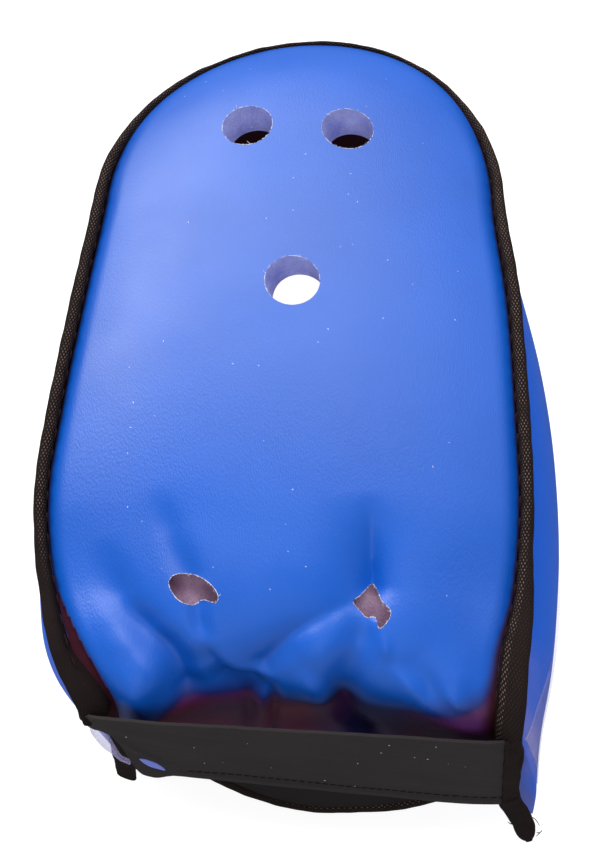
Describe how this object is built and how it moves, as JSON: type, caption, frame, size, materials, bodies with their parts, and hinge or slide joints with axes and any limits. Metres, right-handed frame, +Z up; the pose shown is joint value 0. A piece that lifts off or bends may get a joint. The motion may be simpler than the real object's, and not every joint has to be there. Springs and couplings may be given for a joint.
{
  "type": "karate headgear with face mask",
  "caption": "Padded sparring headgear in blue vinyl, hollow for a head and open at the neck, with bound edges, punched vents, a wide band at the back and a clear shield over the face.",
  "frame": {"origin": "on the floor under the middle of the headgear, which stands on the lower rim of its side pads", "axes": "+Y is the way the wearer faces, +X is the wearer's right, +Z is up"},
  "size_m": [0.2213, 0.3218, 0.1932],
  "materials": {
    "blue_vinyl": "semi-gloss grained PU vinyl",
    "black_tape": "matt woven binding tape",
    "black_elastic": "matt woven elastic",
    "clear_plastic": "clear moulded sheet"
  },
  "bodies": {
    "root": {"crown_pad": "blue_vinyl", "side_pad_right": "blue_vinyl", "side_pad_left": "blue_vinyl", "forehead_pad": "blue_vinyl", "crown_binding": "black_tape", "flap_binding": "black_tape", "rear_binding_right": "black_tape", "rear_binding_left": "black_tape", "back_band": "black_elastic", "face_mask": "clear_plastic"}
  },
  "joints": []
}
